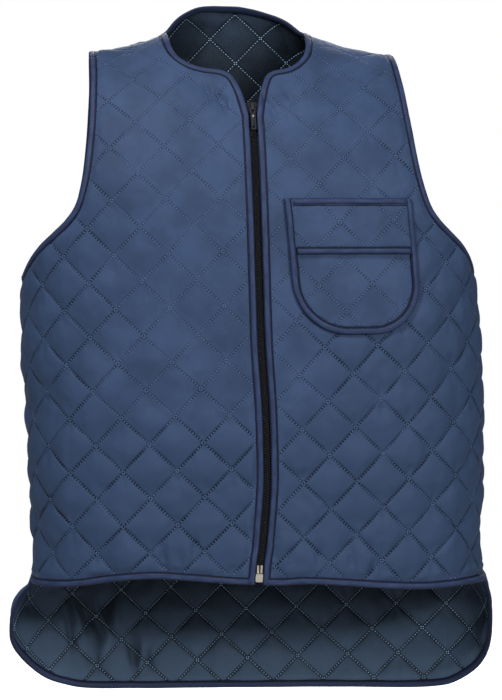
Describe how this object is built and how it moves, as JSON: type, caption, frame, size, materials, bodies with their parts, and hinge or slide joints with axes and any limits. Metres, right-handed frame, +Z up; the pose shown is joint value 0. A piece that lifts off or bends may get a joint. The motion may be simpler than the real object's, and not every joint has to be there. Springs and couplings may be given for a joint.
{
  "type": "thermal gilet",
  "caption": "Sleeveless diamond-quilted body-warmer with bound edges, a front zip, a chest patch pocket with a flap and a dropped back tail, in its worn shape.",
  "frame": {"origin": "the point between the shoulders, level with the shoulder seams at the neck, where the wearer's shoulders carry the gilet", "axes": "+Z up, -Y out of the front, +X towards the wearer's left"},
  "size_m": [0.5801, 0.2488, 0.8404],
  "materials": {
    "cloth": "navy quilted nylon taffeta with a soft sheen",
    "binding": "navy woven binding tape",
    "tape": "black woven zip tape",
    "coil": "black moulded zip coil",
    "slider": "dark enamelled metal",
    "nickel": "pale nickel plate"
  },
  "bodies": {
    "gilet": {"front_panel_right": "cloth", "front_panel_left": "cloth", "back_panel": "cloth", "neck_and_front_binding": "binding", "armhole_binding_right": "binding", "armhole_binding_left": "binding", "front_hem_binding_right": "binding", "front_hem_binding_left": "binding", "tail_binding": "binding", "pocket_pouch": "cloth", "pocket_flap": "cloth", "pocket_side_binding": "binding", "flap_top_binding": "binding", "flap_edge_binding": "binding", "zip_tape_right": "tape", "zip_tape_left": "tape", "zip_coil_right": "coil", "zip_coil_left": "coil", "zip_pin_right": "nickel", "zip_pin_left": "nickel", "zip_box": "nickel", "zip_slider": "slider"},
    "puller": {"zip_puller": "slider"}
  },
  "joints": [
    {"name": "puller_hinge", "type": "hinge", "parent": "gilet", "child": "puller", "pos_m": [0.00304, -0.10157, -0.10088], "axis": [-1, 0, 0], "range_deg": [0, 165]}
  ]
}
